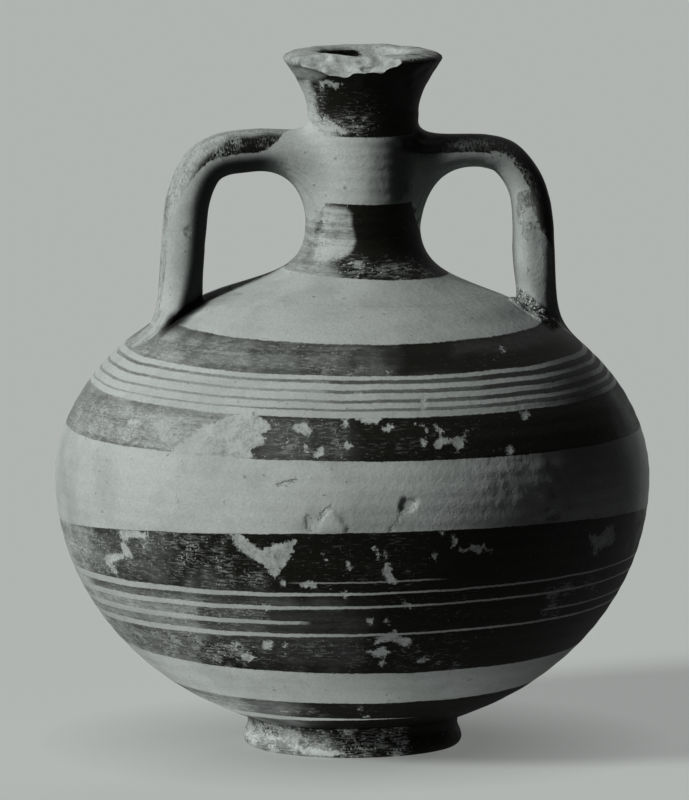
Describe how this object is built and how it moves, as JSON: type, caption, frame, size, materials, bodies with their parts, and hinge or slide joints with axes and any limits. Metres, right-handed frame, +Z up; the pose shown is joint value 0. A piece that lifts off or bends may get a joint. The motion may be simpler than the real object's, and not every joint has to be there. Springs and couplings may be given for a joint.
{
  "type": "two-handled jar",
  "caption": "Globular earthenware storage jar with a low ring foot, waisted neck, flaring chipped lip and arched handles, painted with dark bands and fine lines.",
  "frame": {"origin": "on the floor, under the middle of the body, at the centre of the foot ring's standing face", "axes": "+Z up along the body's axis, +X towards the right handle, -Y towards the viewer and the chipped side of the lip"},
  "size_m": [0.202, 0.202, 0.237],
  "materials": {
    "pale_clay": "matt smoothed earthenware with dark painted bands",
    "dark_paint": "matt to slightly lustrous dark slip paint on earthenware, worn"
  },
  "bodies": {
    "root": {"foot_ring": "dark_paint", "lower_body": "pale_clay", "upper_body": "pale_clay", "neck": "pale_clay", "neck_lute": "dark_paint", "mouth": "dark_paint", "left_handle": "pale_clay", "left_handle_neck_lute": "pale_clay", "left_handle_shoulder_lute": "pale_clay", "right_handle": "pale_clay", "right_handle_neck_lute": "pale_clay", "right_handle_shoulder_lute": "pale_clay"}
  },
  "joints": []
}
